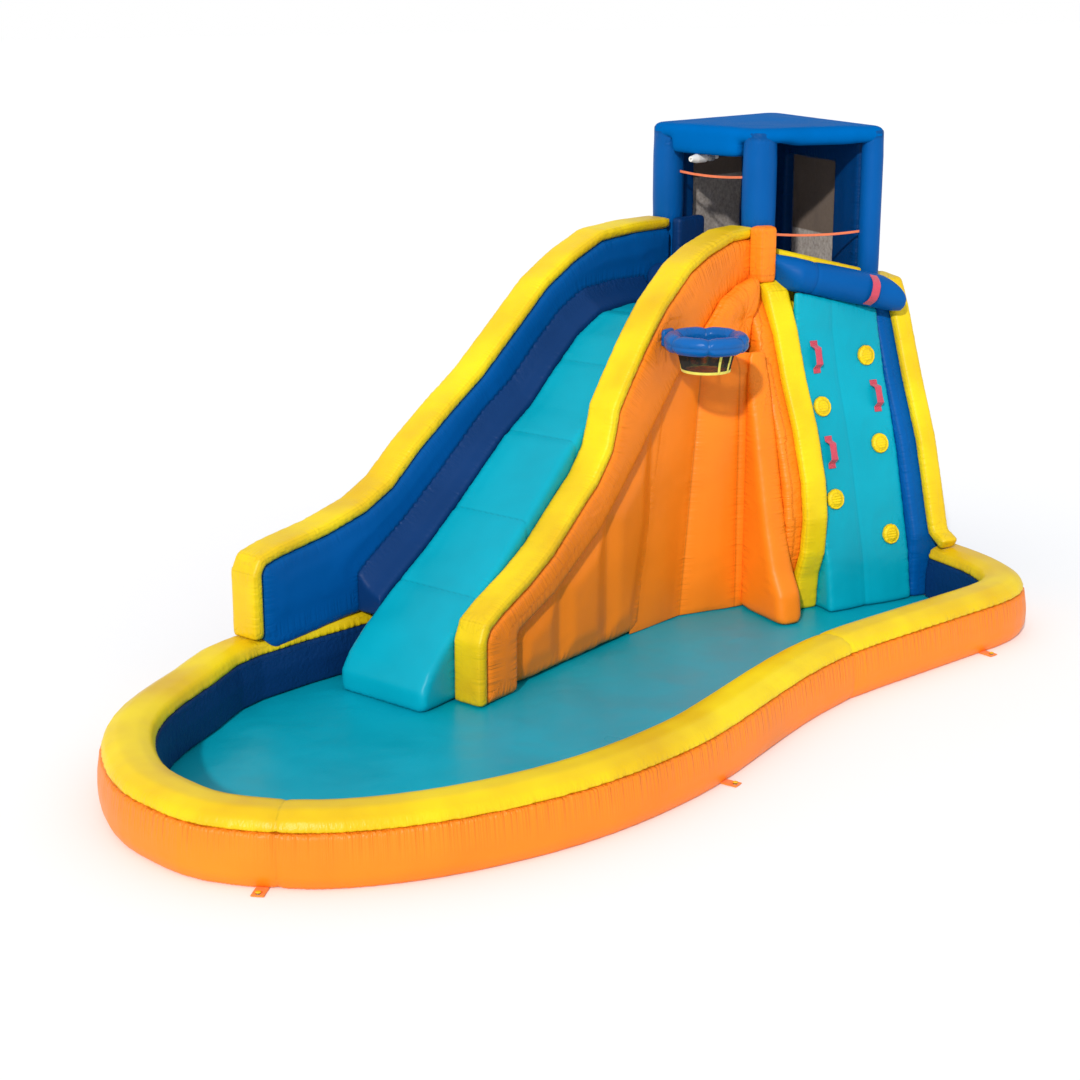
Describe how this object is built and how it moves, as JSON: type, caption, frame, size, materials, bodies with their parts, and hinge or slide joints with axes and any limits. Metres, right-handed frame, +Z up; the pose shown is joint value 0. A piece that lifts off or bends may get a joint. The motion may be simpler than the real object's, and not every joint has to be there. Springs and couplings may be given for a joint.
{
  "type": "inflatable water slide",
  "caption": "Inflatable backyard water slide: curved slide from a roofed tower into a splash pool, with a climbing wall, hoop, spray nozzle and blower.",
  "frame": {"origin": "middle of the footprint box, on the ground under the pool", "axes": "+X along the pool from the slide's landing towards the climbing wall, +Y from the open side of the pool towards the tower and blower, +Z up"},
  "size_m": [4.9636, 3.7246, 2.44],
  "materials": {
    "orange_fabric": "satin coated woven nylon",
    "yellow_fabric": "satin coated woven nylon",
    "foothold_fabric": "satin coated woven nylon, quilted",
    "navy_fabric": "satin coated woven nylon",
    "blue_fabric": "satin coated woven nylon",
    "teal_fabric": "glossy coated woven nylon",
    "floor_sheet": "glossy coated sheet",
    "hoop_fabric": "satin coated woven nylon",
    "hoop_net_cloth": "open mesh with a pale yellow binding",
    "window_mesh": "fine open mesh",
    "handle_webbing": "flat woven webbing",
    "strap_webbing": "flat woven webbing",
    "nozzle_plastic": "moulded, lightly textured",
    "nut_plastic": "ribbed, moulded",
    "blower_plastic": "moulded, finely textured",
    "grille_plastic": "moulded",
    "impeller_plastic": "moulded",
    "switch_plastic": "moulded"
  },
  "bodies": {
    "slide": {"anchor_tab_1": "strap_webbing", "anchor_tab_2": "strap_webbing", "anchor_tab_3": "strap_webbing", "blower_grille": "grille_plastic", "blower_housing": "blower_plastic", "blower_motor": "blower_plastic", "climb_bar_handle": "handle_webbing", "climb_bar_trim": "yellow_fabric", "climb_handle_1": "handle_webbing", "climb_handle_2": "handle_webbing", "climb_handle_3": "handle_webbing", "climb_rail_left": "orange_fabric", "climb_rail_left_band": "yellow_fabric", "climb_rail_right": "blue_fabric", "climb_rail_right_band": "yellow_fabric", "climb_side_panel": "orange_fabric", "climb_top_bar": "blue_fabric", "climb_wall": "teal_fabric", "corner_arch": "orange_fabric", "corner_curtain": "orange_fabric", "foothold_1": "foothold_fabric", "foothold_2": "foothold_fabric", "foothold_3": "foothold_fabric", "foothold_4": "foothold_fabric", "foothold_5": "foothold_fabric", "hoop_mount": "hoop_fabric", "hoop_net": "hoop_net_cloth", "hoop_ring": "hoop_fabric", "inflation_sleeve": "blue_fabric", "pool_floor": "floor_sheet", "pool_liner": "navy_fabric", "pool_wall": "orange_fabric", "pool_wall_top": "yellow_fabric", "roof": "blue_fabric", "slide_bar_handle": "handle_webbing", "slide_block_right": "orange_fabric", "slide_body": "orange_fabric", "slide_gutter": "navy_fabric", "slide_lane": "teal_fabric", "slide_pad_left": "navy_fabric", "slide_rail_left": "navy_fabric", "slide_rail_left_band": "yellow_fabric", "slide_rail_right": "orange_fabric", "slide_rail_right_band": "yellow_fabric", "slide_top_bar": "navy_fabric", "spray_nozzle": "nozzle_plastic", "strap_front_left": "strap_webbing", "strap_front_right": "strap_webbing", "tower_base": "blue_fabric", "tower_post_back": "blue_fabric", "tower_post_front": "blue_fabric", "tower_post_left": "blue_fabric", "tower_post_right": "blue_fabric", "tower_wall_left": "blue_fabric", "tower_wall_right": "blue_fabric", "window_net_left": "window_mesh", "window_net_right": "window_mesh"},
    "impeller": {"blower_impeller": "impeller_plastic"},
    "coupling": {"hose_coupling_nut": "nut_plastic"},
    "switch": {"blower_switch": "switch_plastic"}
  },
  "joints": [
    {"name": "impeller_spin", "type": "hinge", "parent": "slide", "child": "impeller", "pos_m": [0.58398, 1.68495, 0.18], "axis": [-0.9483, -0.3173, 0], "continuous": true},
    {"name": "coupling_turn", "type": "hinge", "parent": "slide", "child": "coupling", "pos_m": [1.50332, 1.02316, 2.2707], "axis": [-0.9641, -0.2656, 0], "continuous": true},
    {"name": "switch_turn", "type": "hinge", "parent": "slide", "child": "switch", "pos_m": [0.58398, 1.68495, 0.338], "axis": [0, 0, 1], "range_deg": [0, 90]}
  ]
}
